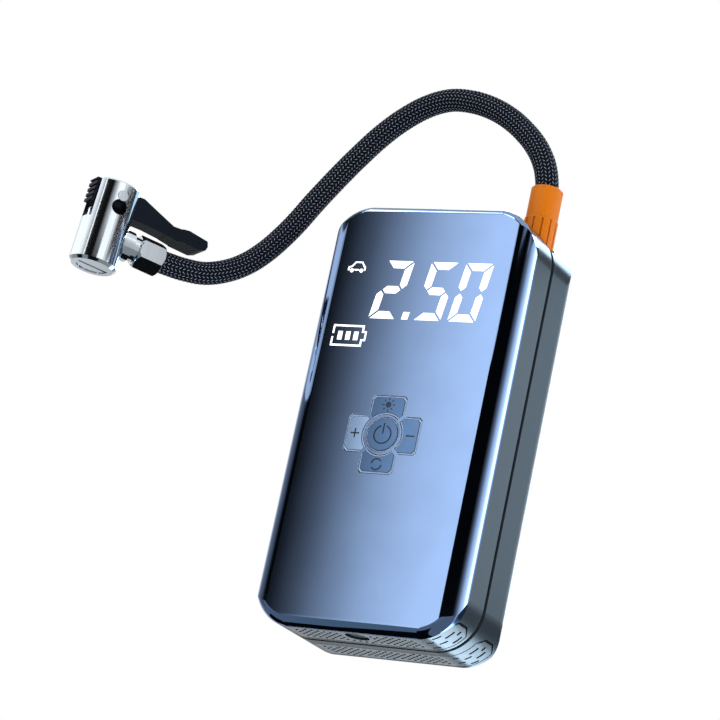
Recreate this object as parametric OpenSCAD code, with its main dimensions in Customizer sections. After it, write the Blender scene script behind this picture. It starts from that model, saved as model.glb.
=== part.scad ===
// Portable tire inflator: slim cordless body with a braided hose and a clip-on air chuck.
// Millimetres. Origin at the middle of the body's base, +Z up, the display faces -Y.

/* [Body] */
// width of the body across the display
body_w = 75.4; // [75:0.2:82]
// depth of the body, front to back
body_d = 38.8; // [38.4:0.2:42]
// height of the body, base to top face
body_h = 145.7; // [145:0.5:156]
// radius of the four corners of the front outline
corner_r = 14.8; // [14.2:0.2:15.4]
// rounding of the long front edges
edge_front = 6.2; // [5.6:0.2:7]
// rounding of the long rear edges
edge_rear = 7.8; // [6.6:0.2:8.4]
// thickness of the housing walls
wall_t = 2.2; // [1.8:0.1:2.4]
// thickness of the glossy front panel
panel_t = 2.0; // [1.6:0.1:2.2]
// thickness of the frame wall behind the panel
frame_t = 1.8; // [1.5:0.1:2]

/* [Front] */
// half extent of the button cross
cross_h = 13.2; // [12.6:0.2:14]
// half width of an arm button
arm_w = 6.2; // [5.6:0.1:6.6]
// radius of the round power button
power_r = 5.9; // [5:0.1:6]
// clearance round each button
cap_gap = 0.3; // [0.2:0.05:0.35]
// press travel of the buttons
press = 0.4; // [0.2:0.05:0.5]
// height of the display digits
digit_h = 20.5; // [18:0.5:22]
// slant of the digits, degrees
digit_slant = 8; // [0:1:12]
// radius of the charge port in the base
port_r = 4.1; // [3.6:0.1:4.1]

/* [Hose] */
// diameter of the braided hose
hose_d = 8.1; // [7:0.1:8.4]
// outer diameter of the collar's ribbed foot
collar_d = 11.4; // [11:0.1:11.8]
// distance of the hose socket from the right side
hose_in = 8.2; // [8:0.1:8.8]
// radius of the socket's nipple
nipple_r = 4.2; // [4:0.05:4.3]

/* [Pump] */
// diameter of one battery cell
cell_d = 18.2; // [17.6:0.1:18.6]
// length of one battery cell
cell_len = 65; // [60:1:65]
// diameter of the motor
motor_d = 24; // [22:0.5:24.5]
// length of the motor can
motor_len = 42; // [34:1:44]
// bore radius of the pump cylinder
pump_r = 8.5; // [7.5:0.1:8.8]
// radius of the crank pin's circle, half the piston's stroke
crank_r = 5; // [3.5:0.25:5]

/* [Chuck] */
// outer radius of the chuck shell
chuck_r = 8.3; // [8:0.1:8.8]
// width across the flats of the hose nut
nut_af = 10.4; // [9.6:0.2:11]
// bore radius of the clip's ring, round the tire valve
ring_bore = 4.3; // [4:0.05:4.4]
// half width of the clip lever's arm
lever_w = 3.5; // [2.8:0.1:3.5]

/* [Hidden] */
$fn = 64;
// running clearance between a turning or sliding pair
fit = 0.05;
yf = -body_d / 2;
yb = body_d / 2;
top = body_h;
cx = body_w / 2 - corner_r;
part_y = -1.15;
skin = panel_t + frame_t;
// frame wall's inner face
yi = yf + skin;
// inner faces of the side walls
side_in = body_w / 2 - wall_t;
// display, measured down from the top face
dig_z = top - 40;
// centre of the button cross
bx = -2;
bz = dig_z - 39.9;
// rounding of the front edge along the base, along the top and of the rear edge
base_round = 3.6;
top_round = 2.2;
back_round = 1.5;
arc_r = 7.1;
hx = body_w / 2 - hose_in;
collar_r = collar_d / 2;
pocket_z = top - 7.2;
// screw positions, x and z, with the radii of the bosses in front and behind
screw_x = side_in - 6;
screw_z = 8.5;
boss_r = 3.1;
foot_r = 4;
rib_x = side_in - 4.6;
screws = [[-screw_x, screw_z], [screw_x, screw_z], [-screw_x, top - screw_z], [rib_x, top - 37.7]];
// play between a piece and its neighbour inside the housing
play = 0.3;
// batteries, standing above the lower screws' feet in a holder with plates of this thickness
plate_t = 1.5;
holder_z = screw_z + foot_r + play;
cell_z = holder_z + plate_t;
cell_gap = 0.4;
cell_y = yb - 4.3 - cell_d / 2;
cells = [-side_in + 0.9 + cell_d / 2, -side_in + 0.9 + cell_d * 1.5 + cell_gap];
holder_x = [cells[0] - 6.5, cells[1] + 8.4];
// pump train: motor by the right wall, gears above the plate, cylinder by the left wall
my = 3.2;
mx = side_in - 0.9 - motor_d / 2;
tooth_m = 0.7;
n_pin = 9;
n_gear = 32;
gx = mx - tooth_m * (n_pin + n_gear) / 2;
plate_z = cell_z + cell_len + plate_t + play;
gear_z = plate_z + 3;
rod_z = gear_z + 9;
pin_x = gx + crank_r;
head_t = 4.5;
wall_x = -side_in + 1 + head_t;
// piston's crown at the outer end of the stroke, and the ends of piston and cylinder
crown_x = wall_x + 0.7 + 2 * crank_r;
piston_len = 5;
barrel_x = crown_x + piston_len + 1.5;
// air line's level under the top, and the end of the head's outlet below it
line_z = top - 23.7;
head_z = rod_z + pump_r + 2.5;
// charge port centre
port_y = yf + 7.9;
// digits: width, stroke and gap, and the depth of the lit pieces
dig_w = 10.1;
dig_t = 2.6;
dig_g = 0.5;
lit = 0.3;
digits_x = [-16.5, 0.1, 12.8];
// display board, its tray and the window for them in the frame
tray = [-side_in + 6, 27, dig_z - 12, dig_z + 22.5];
tray_y = yf + panel_t + 3.5;
board_t = 1.2;
// main board and its posts
board = [-28, 26, 22, dig_z - 17.7];
posts = [for (x = [board[0] + 3, board[1] - 4]) for (z = [board[2] + 3, board[3] - 2.5]) [x, z]];
switch_y = yf + 5.6;
// switch plungers, and the ends of the buttons' stems behind the press travel
plunger_y = switch_y - 0.45;
stem_y = plunger_y - 0.1 - press;
// slots of the base's pattern: length, width, pitch along a row and between rows
slot_l = 1.8;
slot_w = 0.85;
slot_pitch = 2.6;
row_pitch = 1.75;
// steps of the caps' bevels: count, width and height
bevel_n = 3;
bevel_w = 0.18;
bevel_h = 0.12;
// chuck pose
chuck_p = [-103, -56, top - 27.7];
pivot_z = 12.8;
nut_x0 = 13;
nut_x1 = 22.5;

// ---------- shared shapes ----------
// rectangle with four corner radii, from (x0, y0) round to (x0, y1)
module rr4(x0, x1, y0, y1, ra, rb, rc, rd) {
  polygon([[x0 + ra, y0], [x1 - rb, y0], [x1, y0 + rb], [x1, y1 - rc],
    [x1 - rc, y1], [x0 + rd, y1], [x0, y1 - rd], [x0, y0 + ra]]);
  translate([x0 + ra, y0 + ra]) circle(r = ra);
  translate([x1 - rb, y0 + rb]) circle(r = rb);
  translate([x1 - rc, y1 - rc]) circle(r = rc);
  translate([x0 + rd, y1 - rd]) circle(r = rd);
}

// extrudes an x-z drawing from y0 back to y1
module slab_y(y0, y1) {
  translate([0, y1, 0]) rotate([90, 0, 0]) linear_extrude(height = y1 - y0) children();
}

// extrudes a y-z drawing from x0 to x1
module slab_x(x0, x1) {
  translate([x0, 0, 0]) rotate([90, 0, 90]) linear_extrude(height = x1 - x0) children();
}

// box given by its two corners
module bx6(x0, x1, y0, y1, z0, z1) {
  translate([x0, y0, z0]) cube([x1 - x0, y1 - y0, z1 - z0]);
}

// rod along z
module rod(x, y, z0, z1, r) {
  translate([x, y, z0]) cylinder(h = z1 - z0, r = r);
}

// rod along y
module rod_y(x, z, y0, y1, r) {
  translate([x, y0, z]) rotate([-90, 0, 0]) cylinder(h = y1 - y0, r = r);
}

// rod along x
module rod_x(y, z, x0, x1, r) {
  translate([x0, y, z]) rotate([0, 90, 0]) cylinder(h = x1 - x0, r = r);
}

// the body's outer shape drawn in by e on every side
module block(e) {
  w = body_w / 2 - e;
  d = body_d / 2 - e;
  rf = edge_front - e;
  rr = edge_rear - e;
  r = corner_r - e;
  rb = max(base_round - e, 0.4);
  rt = max(top_round - e, 0.4);
  rk = max(back_round - e, 0.4);
  intersection() {
    slab_y(-body_d, body_d) rr4(-w, w, e, top - e, r, r, r, r);
    translate([0, 0, -1]) linear_extrude(height = top + 2) rr4(-w, w, -d, d, rf, rf, rr, rr);
    slab_x(-body_w, body_w) rr4(-d, d, e, top - e, rb, rk, rk, rt);
  }
}

// what the rounding r takes off the body's four corners along the front (f = 1) or rear (f = -1)
module corner_shave(f, z, r) {
  turn = z < top / 2 ? 1 : -1;
  for (s = [-1, 1]) intersection() {
    translate([s * cx, f * yf, z]) rotate([-90 * f, 0, 0]) rotate_extrude() difference() {
      translate([corner_r - r, -1]) square([r + 2, r + 1]);
      translate([corner_r - r + 0.04, r - 0.04]) circle(r = r);
    }
    bx6(s > 0 ? cx : -cx - 20, s > 0 ? cx + 20 : -cx, -body_d, body_d,
      turn > 0 ? z - 20 : z, turn > 0 ? z : z + 20);
  }
}

// the body's outer shape with its corner edges rounded off
module shell() {
  difference() {
    block(0);
    corner_shave(1, corner_r, base_round);
    corner_shave(1, top - corner_r, top_round);
    corner_shave(-1, corner_r, back_round);
    corner_shave(-1, top - corner_r, back_round);
  }
}

// hollow inside the two housing halves
module cavity() {
  block(skin);
  intersection() {
    block(wall_t);
    bx6(-body_w, body_w, yf + 7, body_d, -1, top + 1);
  }
}

// side view of the space that the front panel takes
module panel_side() {
  polygon([[yf - 1, -1], [yf + 3, -1], [yf + 3, 2.6], [yf + 6.15, 8.6],
    [yf + 6.15, top - 8.6], [yf + 3, top - 2.6], [yf + 3, top + 1], [yf - 1, top + 1]]);
}

// seam groove between the halves
module seam() {
  difference() {
    bx6(-body_w, body_w, part_y - 0.55, part_y + 0.55, -1, top + 1);
    block(0.7);
  }
  difference() {
    bx6(-body_w, body_w, part_y - 0.95, part_y + 0.95, -1, top + 1);
    block(0.25);
  }
}

// cuts children to a shallow depth below the body's surface
module engrave(depth) {
  difference() {
    children();
    block(depth);
  }
}

// places children on the lower corner at arc length a; local -z points outwards
module on_corner(a, s) {
  mirror([s < 0 ? 1 : 0, 0, 0]) translate([cx, 0, corner_r])
    rotate([0, -a / corner_r * 180 / PI, 0]) children();
}

// short slot on the lower corner
module dash(a0, a1, y, s) {
  l = (a1 - a0) / 2;
  on_corner((a0 + a1) / 2, s) bx6(-l, l, y - 0.5, y + 0.5, -corner_r - 1, -corner_r + 1.6);
}

// cross-section, seen from the front, of all that lies under the base and round its corners
module under2d(a) {
  x = cx + 18 * sin(a);
  z = corner_r - 18 * cos(a);
  polygon([[-x, z], [-cx, -2], [cx, -2], [x, z], [cx, corner_r], [-cx, corner_r]]);
}

// thin line round one of the two bottom bands, with its shield-shaped ends
module band_line(y0, y1, cut) {
  t = 0.5;
  for (y = [y0, y1 - t]) slab_y(y, y + t) under2d(38);
  for (s = [-1, 1]) on_corner(11.6, s) translate([0, 0, -corner_r - 2]) linear_extrude(height = 6)
    difference() {
      polygon([[-2.2, y0 + 0.02], [1.4, y0 + 0.02], [4.2, y0 + cut], [4.2, y1 - cut],
        [1.4, y1 - 0.02], [-2.2, y1 - 0.02]]);
      polygon([[-3, y0 + t + 0.02], [1.25, y0 + t + 0.02], [3.4, y0 + cut + 0.2],
        [3.4, y1 - cut - 0.2], [1.25, y1 - t - 0.02], [-3, y1 - t - 0.02]]);
    }
}

// slanted rows of short slots under the base, between y0 and y1 and clear of the port by skip_r
module twill(y0, y1, skip_r) {
  reach = (slot_l + slot_w) / sqrt(8) + 0.9;
  for (i = [-8 : 8])
    for (j = [-12 : 12]) {
      u = (i + (j % 2 == 0 ? 0 : 0.5)) * slot_pitch;
      v = j * row_pitch;
      x = (u + v) / sqrt(2);
      y = (y0 + y1 + sqrt(2) * (v - u)) / 2;
      far = sqrt(x * x + (y - port_y) * (y - port_y)) > skip_r;
      if (far && abs(x) < cx - 1 && y > y0 + reach && y < y1 - reach) translate([x, y, -1])
        rotate(-45) translate([-slot_l / 2, -slot_w / 2, 0]) cube([slot_l, slot_w, 1.5]);
    }
}

// ---------- front panel and display ----------
// one arm of the button cross, pointing up; g is the clearance taken all round
module arm2d(g) {
  w = arm_w + g;
  h = cross_h + g;
  difference() {
    polygon([[-w + 1, h], [-w, h - 1], [-w, w + 0.9], [0, 0.9 - g], [w, w + 0.9], [w, h - 1],
      [w - 1, h]]);
    circle(r = arc_r - g);
  }
}

// the five openings of the button cross
module cross_holes() {
  for (q = [0 : 3]) rotate(q * 90) arm2d(cap_gap);
  circle(r = power_r + cap_gap);
}

function lean(p) = [p[0] + p[1] * tan(digit_slant), p[1]];

// a digit's segment, slanted; s is the list of corners
module seg(s) {
  polygon([for (p = s) lean(p)]);
}

// seven segment digit drawn at its lower left corner; on lists the lit segments
module digit(on) {
  w = dig_w;
  h = digit_h;
  m = h / 2;
  t = dig_t;
  g = dig_g;
  if (on[0]) seg([[g, h], [w - g, h], [w - t - g, h - t], [t + g, h - t]]);
  if (on[1]) seg([[w, h - g], [w - t, h - t - g], [w - t, m + t / 2 + g], [w - t / 2, m + g],
    [w, m + t / 2 + g]]);
  if (on[2]) seg([[w, m - t / 2 - g], [w - t / 2, m - g], [w - t, m - t / 2 - g],
    [w - t, t + g], [w, g]]);
  if (on[3]) seg([[g, 0], [t + g, t], [w - t - g, t], [w - g, 0]]);
  if (on[4]) seg([[0, m - t / 2 - g], [0, g], [t, t + g], [t, m - t / 2 - g], [t / 2, m - g]]);
  if (on[5]) seg([[0, h - g], [0, m + t / 2 + g], [t / 2, m + g], [t, m + t / 2 + g],
    [t, h - t - g]]);
  if (on[6]) seg([[t / 2 + g, m], [t + g, m + t / 2], [w - t - g, m + t / 2], [w - t / 2 - g, m],
    [w - t - g, m - t / 2], [t + g, m - t / 2]]);
}

// the shown number, two and a half
module number2d() {
  translate([digits_x[0], dig_z]) digit([1, 1, 0, 1, 1, 0, 1]);
  translate([-4.2, dig_z]) polygon([[0, 0], [2.3, 0], [2.7, 2.6], [0.4, 2.6]]);
  translate([digits_x[1], dig_z]) digit([1, 0, 1, 1, 0, 1, 1]);
  translate([digits_x[2], dig_z]) digit([1, 1, 1, 1, 1, 1, 0]);
}

// small car and battery symbols
module icons2d() {
  translate([tray[0] + 1.4, dig_z + 15.7]) {
    difference() {
      polygon([[0, 0.9], [0.1, 2.2], [1.3, 2.6], [2.5, 4.1], [5.2, 4.1], [6.4, 2.5], [6.7, 2.1],
        [6.7, 0.9]]);
      polygon([[0.6, 1.4], [0.7, 1.9], [1.6, 2.1], [2.8, 3.6], [4.9, 3.6], [6.1, 1.9], [6.1, 1.4]]);
      translate([1.6, 0.9]) circle(r = 0.95);
      translate([5.2, 0.9]) circle(r = 0.95);
    }
    translate([1.6, 0.9]) circle(r = 0.7);
    translate([5.2, 0.9]) circle(r = 0.7);
  }
  translate([tray[0] + 0.8, dig_z - 10.2]) {
    difference() {
      union() {
        square([11.7, 7.5]);
        translate([11.6, 2]) square([1.3, 3.5]);
      }
      translate([0.65, 0.65]) square([10.4, 6.2]);
      translate([-0.1, 3.2]) square([1, 1.2]);
      translate([11, 2.6]) square([1.3, 2.3]);
    }
    for (i = [0 : 2]) translate([2.2 + i * 3, 2.2]) square([1.7, 3]);
  }
}

module front_panel() {
  color([0.05, 0.07, 0.13]) difference() {
    intersection() {
      shell();
      slab_x(-body_w, body_w) panel_side();
    }
    block(panel_t);
    slab_y(yf - 1, yf + panel_t + 1) translate([bx, bz]) cross_holes();
    slab_y(yf - 1, yf + lit) number2d();
    slab_y(yf - 1, yf + lit) icons2d();
  }
}

module display_segments() {
  color([0.96, 0.97, 1]) slab_y(yf, yf + lit) number2d();
}

module display_icons() {
  color([0.9, 0.92, 1]) slab_y(yf, yf + lit) icons2d();
}

// opaque tray with one window per digit, between the panel and the display board
module light_box() {
  color([0.9, 0.9, 0.88]) difference() {
    bx6(tray[0], tray[1], yf + panel_t + 0.1, tray_y, tray[2], tray[3]);
    for (x = digits_x) bx6(x - 1, x + dig_w + 1.8, yf, tray_y - 1, dig_z - 0.8, dig_z + digit_h + 0.7);
    bx6(tray[0] + 0.5, tray[0] + 14.5, yf, tray_y - 1, dig_z - 11, dig_z - 2);
    bx6(tray[0] + 0.6, tray[0] + 9.5, yf, tray_y - 1, dig_z + 14, dig_z + 21);
  }
}

module display_board() {
  color([0.05, 0.3, 0.18]) {
    bx6(tray[0] - 0.5, tray[1], tray_y, tray_y + board_t, tray[2] - 1, tray[3] + 1.5);
    bx6(-10, 6, tray_y + board_t, tray_y + 3.7, dig_z, dig_z + 5);
    bx6(12, 24, tray_y + board_t, tray_y + 2.8, dig_z + 10, dig_z + 18);
  }
}

// ---------- housing ----------
// solid round the hose socket, tied into the top right corner
module seat() {
  intersection() {
    block(1);
    rod(hx, 0, top - 17, top, 8);
  }
}

// space for the hose socket and the collar's foot
module seat_bore() {
  rod(hx, 0, pocket_z, top + 3, collar_r + 0.5);
  rod(hx, 0, top - 20, pocket_z + 1, 5);
  rod(hx, 0, top - 14.7, top - 11.7, 6.6);
}

// opening for the lamp lens
module lamp_cut() {
  bx6(-21.6, 4.1, -5, 5, top - 5, top + 1);
}

module front_frame() {
  color([0.24, 0.27, 0.31]) difference() {
    union() {
      difference() {
        union() {
          intersection() {
            block(panel_t);
            bx6(-body_w, body_w, yf, part_y, -1, top + 1);
          }
          intersection() {
            shell();
            bx6(-body_w, body_w, yf, part_y, -1, top + 1);
            slab_x(-body_w, body_w) polygon([[yf + 3, -1], [yf + 3, 2.6], [yf + 6.15, 8.6],
              [yf + 6.15, top - 8.6], [yf + 3, top - 2.6], [yf + 3, top + 1], [0, top + 1],
              [0, -1]]);
          }
        }
        cavity();
      }
      for (p = screws) rod_y(p[0], p[1], yi - 0.2, part_y, boss_r);
      bx6(rib_x, body_w / 2 - 1, yi + 4, part_y, screws[3][1] - 2, screws[3][1] + 2);
      for (p = posts) rod_y(p[0], p[1], yi - 0.2, yf + 7, 2);
      intersection() {
        seat();
        bx6(0, body_w, yf + 2.5, part_y, 0, top + 1);
      }
    }
    seat_bore();
    seam();
    lamp_cut();
    for (p = screws) rod_y(p[0], p[1], yf + 5.8, part_y + 1, 1.3);
    bx6(tray[0] - 0.7, tray[1] + 0.6, yf, yi + 0.5, tray[2] - 0.6, tray[3] + 0.5);
    rod_y(bx, bz, yf, yi + 0.5, cross_h + 2.4);
    rod(0, port_y, -1, skin + 1, port_r);
    engrave(0.35) band_line(yf + 2.8, yf + 16, 3.6);
    engrave(0.5) {
      twill(yf + 2.8, yf + 16, port_r + 1.5);
      for (s = [-1, 1]) {
        dash(8.6, 12.3, yf + 8.2, s);
        dash(11.8, 13.5, yf + 11, s);
        dash(8.6, 12.2, yf + 13.9, s);
        dash(5.3, 8.5, yf + 5.3, s);
        dash(5.4, 8.3, yf + 10.8, s);
        dash(2.1, 4.8, yf + 8, s);
        dash(1.9, 4.6, yf + 13.5, s);
      }
    }
  }
}

module rear_housing() {
  color([0.27, 0.3, 0.34]) difference() {
    union() {
      difference() {
        intersection() {
          shell();
          bx6(-body_w, body_w, part_y, body_d, -1, top + 1);
        }
        cavity();
      }
      difference() {
        intersection() {
          block(wall_t + 0.1);
          bx6(-body_w, body_w, part_y - 1.8, part_y + 1.5, -1, top + 1);
        }
        block(wall_t + 1);
        for (p = screws) rod_y(p[0], p[1], part_y - 3, part_y, boss_r + 0.2);
        bx6(rib_x - 1, body_w, part_y - 3, part_y, screws[3][1] - 3, screws[3][1] + 3);
        bx6(hx - 9, body_w, part_y - 3, part_y + 3, top - 18, top);
        bx6(-23.5, 6, part_y - 3, 6, top - 5, top);
      }
      difference() {
        intersection() {
          block(wall_t - 0.3);
          bx6(-body_w, body_w, part_y, part_y + 1.5, -1, top + 1);
        }
        block(wall_t + 1);
        bx6(-23.5, 6, part_y - 3, 6, top - 5, top);
      }
      for (p = screws) {
        rod_y(p[0], p[1], part_y, yb - 4, boss_r);
        intersection() {
          rod_y(p[0], p[1], yb - 6, yb, foot_r);
          block(1);
        }
      }
      intersection() {
        seat();
        bx6(0, body_w, part_y, yb - 1, 0, top + 1);
      }
      for (x = [mx - 8, mx + 7]) bx6(x - 1, x + 1, my + motor_d / 2 + play, yb - 1, 34,
        plate_z - play);
    }
    seat_bore();
    seam();
    lamp_cut();
    for (p = screws) {
      rod_y(p[0], p[1], part_y - 1, yb, 1.5);
      rod_y(p[0], p[1], yb - 4, yb + 1, 2.6);
    }
    engrave(0.35) band_line(yb - 15.5, yb - 2.6, 3.6);
    engrave(0.5) {
      twill(yb - 15.5, yb - 2.6, 0);
      for (s = [-1, 1]) {
        dash(8.5, 12.1, yb - 11.8, s);
        dash(11.9, 13.6, yb - 9, s);
        dash(8.7, 12.3, yb - 6.6, s);
        dash(5.7, 8.3, yb - 9.5, s);
        dash(5.6, 8.5, yb - 4.2, s);
        dash(2.5, 4.8, yb - 12, s);
        dash(2.3, 4.9, yb - 6.9, s);
      }
    }
    for (i = [0 : 5]) bx6(-14, 14, yb - 0.6, yb + 1, rod_z - 1 + i * 4, rod_z + 0.6 + i * 4);
  }
}

module housing_screws() {
  color([0.6, 0.6, 0.62]) for (p = screws) difference() {
    union() {
      rod_y(p[0], p[1], yf + 6.4, yb - 4, 1.3);
      rod_y(p[0], p[1], yb - 4, yb - 2.2, 2.3);
    }
    for (q = [0, 90]) translate([p[0], yb - 2.8, p[1]]) rotate([0, q, 0])
      translate([-1.4, 0, -0.3]) cube([2.8, 1, 0.6]);
  }
}

// ---------- lamp ----------
module lamp_lens() {
  color([0.85, 0.9, 0.95]) {
    bx6(-21.6, 4.1, -5, 5, top - wall_t, top);
    bx6(-22.8, 5.3, -6, 6, top - wall_t - 1.2, top - wall_t);
  }
}

module lamp_reflector() {
  color([0.9, 0.9, 0.9]) difference() {
    bx6(-22.8, 5.3, -6, 6, top - wall_t - 5.2, top - wall_t - 1.2);
    for (x = [-15.5, -2]) rod(x, 0, top - wall_t - 6, top, 5);
  }
}

module lamp_board() {
  color([0.9, 0.9, 0.8]) {
    bx6(-22.8, 5.3, -6, 6, top - wall_t - 6.4, top - wall_t - 5.2);
    for (x = [-15.5, -2]) bx6(x - 1.8, x + 1.8, -1.8, 1.8, top - wall_t - 5.2, top - wall_t - 4.4);
  }
}

// ---------- buttons ----------
// cap with a stepped bevel, flange and stem of an arm button, pointing up at the cross centre
module arm_button(q) {
  translate([bx, 0, bz]) rotate([0, -q, 0]) {
    for (i = [0 : bevel_n - 1]) slab_y(yf + i * bevel_h, yf + (i + 1) * bevel_h + 0.01)
      arm2d(-(bevel_n - i) * bevel_w);
    slab_y(yf + bevel_n * bevel_h, yf + panel_t + 1.2) arm2d(0);
    bx6(-arm_w + 0.6, arm_w - 0.6, yf + panel_t + 0.1, yf + panel_t + 1.2, cross_h - 1,
      cross_h + 1.2);
    rod_y(0, 10, yf + panel_t + 1, stem_y, 1.5);
  }
}

// shallow mark on an arm button, drawn upright at the cap's middle
module mark(q) {
  translate([bx, 0, bz]) rotate([0, -q, 0]) translate([0, 0, 10.2]) rotate([0, q, 0])
    slab_y(yf - 1, yf + 0.2) children();
}

module lamp_button() {
  color([0.16, 0.2, 0.3]) difference() {
    arm_button(0);
    mark(0) {
      circle(r = 1);
      for (a = [0 : 45 : 315]) rotate(a) translate([1.5, -0.15]) square([0.9, 0.3]);
    }
  }
}

module minus_button() {
  color([0.16, 0.2, 0.3]) difference() {
    arm_button(-90);
    mark(-90) translate([-1.6, -0.25]) square([3.2, 0.5]);
  }
}

module mode_button() {
  color([0.16, 0.2, 0.3]) difference() {
    arm_button(180);
    mark(180) difference() {
      circle(r = 2.1);
      circle(r = 1.6);
      translate([0.4, -0.2]) square([2, 1.3]);
      translate([-2.4, -1.1]) square([2, 1.3]);
    }
  }
}

module plus_button() {
  color([0.16, 0.2, 0.3]) difference() {
    arm_button(90);
    mark(90) {
      translate([-1.6, -0.25]) square([3.2, 0.5]);
      translate([-0.25, -1.6]) square([0.5, 3.2]);
    }
  }
}

module power_button() {
  color([0.16, 0.2, 0.3]) translate([bx, 0, bz]) difference() {
    union() {
      translate([0, yf, 0]) rotate([-90, 0, 0])
        cylinder(h = bevel_n * bevel_h, r1 = power_r - bevel_n * bevel_w, r2 = power_r);
      rod_y(0, 0, yf + bevel_n * bevel_h, yf + panel_t + 1.2, power_r);
      rod_y(0, 0, yf + panel_t + 0.1, yf + panel_t + 1.2, power_r + 0.7);
      rod_y(0, 0, yf + panel_t + 1, stem_y, 1.5);
    }
    slab_y(yf - 1, yf + 0.2) {
      difference() {
        circle(r = 3.3);
        circle(r = 2.8);
        translate([-1, 1]) square([2, 3]);
      }
      translate([-0.25, 0.3]) square([0.5, 3.6]);
    }
  }
}

// ---------- boards, socket, battery ----------
module main_board() {
  color([0.05, 0.3, 0.18]) difference() {
    union() {
      bx6(board[0], board[1], yf + 7, yf + 8.4, board[2], board[3]);
      bx6(board[0] + 6, board[0] + 16, yf + 8.4, yf + 10, board[2] + 2, board[2] + 12);
      bx6(board[1] - 18, board[1] - 10, yf + 8.4, yf + 9.6, board[2] + 2, board[2] + 8);
    }
    for (p = posts) rod_y(p[0], p[1], yf, yf + 12, 1);
  }
}

module tact_switches() {
  color([0.1, 0.1, 0.1]) for (p = [[0, 0], [0, 10], [10, 0], [0, -10], [-10, 0]]) {
    bx6(bx + p[0] - 2.3, bx + p[0] + 2.3, switch_y, yf + 7, bz + p[1] - 2.3, bz + p[1] + 2.3);
    rod_y(bx + p[0], bz + p[1], plunger_y, switch_y + 0.1, 1.1);
  }
}

module charge_socket() {
  color([0.12, 0.12, 0.13]) difference() {
    bx6(-5.5, 5.5, yi, yf + 13, skin, 15);
    rod(0, port_y, skin - 1, 12, 2.75);
    rod(0, port_y, skin - 1, skin + 0.6, 3.4);
  }
}

module battery_cells() {
  color([0.2, 0.45, 0.7]) for (x = cells) {
    rod(x, cell_y, cell_z, cell_z + cell_len - 1.2, cell_d / 2);
    rod(x, cell_y, cell_z + cell_len - 1.5, cell_z + cell_len, 3);
  }
}

module battery_holder() {
  color([0.15, 0.15, 0.16]) {
    bx6(holder_x[0], holder_x[1], yb - 4.1, yb - 2.6, holder_z, cell_z + cell_len + plate_t);
    bx6(holder_x[0], holder_x[1], -1, yb - 3, holder_z, cell_z);
    bx6(holder_x[0], holder_x[1], -1, yb - 3, cell_z + cell_len, cell_z + cell_len + plate_t);
  }
}

// ---------- motor and pump ----------
module motor_can() {
  color([0.72, 0.73, 0.75]) difference() {
    rod(mx, my, plate_z - motor_len, plate_z, motor_d / 2);
    rod(mx, my, plate_z - 26, plate_z + 1, 1.15 + fit);
  }
}

module motor_endbell() {
  color([0.12, 0.12, 0.13]) {
    rod(mx, my, plate_z - motor_len - 4, plate_z - motor_len, motor_d / 2 - 0.8);
    for (x = [-6, 6]) bx6(mx + x - 1, mx + x + 1, my - 0.3, my + 0.3,
      plate_z - motor_len - 8, plate_z - motor_len - 3);
  }
}

module motor_shaft() {
  color([0.75, 0.75, 0.77]) rod(mx, my, plate_z - 25.5, gear_z + 5.5, 1.15);
}

// straight-flanked gear outline with n teeth, one tooth along +x
module gear2d(n) {
  rp = n * tooth_m / 2;
  ro = rp + 0.85 * tooth_m;
  ri = rp - 1.15 * tooth_m;
  st = 360 / n;
  ta = 0.3 * tooth_m / rp * 180 / PI;
  tb = 0.85 * tooth_m / rp * 180 / PI;
  polygon([for (i = [0 : n - 1]) for (q = [[ri, -tb], [ro, -ta], [ro, ta], [ri, tb]])
    [q[0] * cos(i * st + q[1]), q[0] * sin(i * st + q[1])]]);
}

module drive_pinion() {
  color([0.8, 0.72, 0.45]) difference() {
    translate([mx, my, gear_z]) linear_extrude(height = 5) gear2d(n_pin);
    rod(mx, my, gear_z - 1, gear_z + 6, 1.15);
  }
}

module gear_plate() {
  color([0.55, 0.56, 0.58]) difference() {
    intersection() {
      bx6(wall_x, side_in - 1.5, -8, body_d, plate_z, plate_z + 2.5);
      block(wall_t + 0.02);
    }
    rod(mx, my, plate_z - 1, plate_z + 4, 2.4);
    rod(gx, my, plate_z - 1, plate_z + 4, 1.5);
    rod_x(my, rod_z, -body_w, barrel_x + 0.1, pump_r + 2.02);
  }
}

module gear_shaft() {
  color([0.75, 0.75, 0.77]) {
    rod(gx, my, plate_z, gear_z + 5.6, 1.5);
    rod(gx, my, gear_z + 5.1, gear_z + 5.7, 2.5);
    rod(gx, my, plate_z + 2.5, plate_z + 2.9, 2.5);
  }
}

module crank_gear() {
  color([0.85, 0.85, 0.82]) difference() {
    union() {
      translate([gx, my, gear_z]) linear_extrude(height = 5) gear2d(n_gear);
      rod(pin_x, my, gear_z + 5, gear_z + 7.2, 1.5);
    }
    rod(gx, my, gear_z - 1, gear_z + 6, 1.5 + fit);
    rod(gx, my, gear_z + 4.4, gear_z + 6, 2.9);
    for (a = [90, 180, 270]) translate([gx + 7 * cos(a), my + 7 * sin(a), gear_z - 1])
      cylinder(h = 7, r = 1.8);
  }
}

module piston_rod() {
  color([0.7, 0.7, 0.72]) difference() {
    union() {
      rod_x(my, rod_z, crown_x, crown_x + piston_len, pump_r - fit);
      bx6(crown_x + piston_len - 0.5, pin_x - 2.5, my - 1.75, my + 1.75, rod_z - 1.5, rod_z + 1.5);
      rod(pin_x, my, rod_z - 1.5, rod_z + 1.5, 3.5);
    }
    rod(pin_x, my, rod_z - 3, rod_z + 3, 1.6);
    difference() {
      rod_x(my, rod_z, crown_x + 1.5, crown_x + 3.1, pump_r + 1);
      rod_x(my, rod_z, crown_x + 0.5, crown_x + 4.5, pump_r - 0.9);
    }
  }
}

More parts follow.
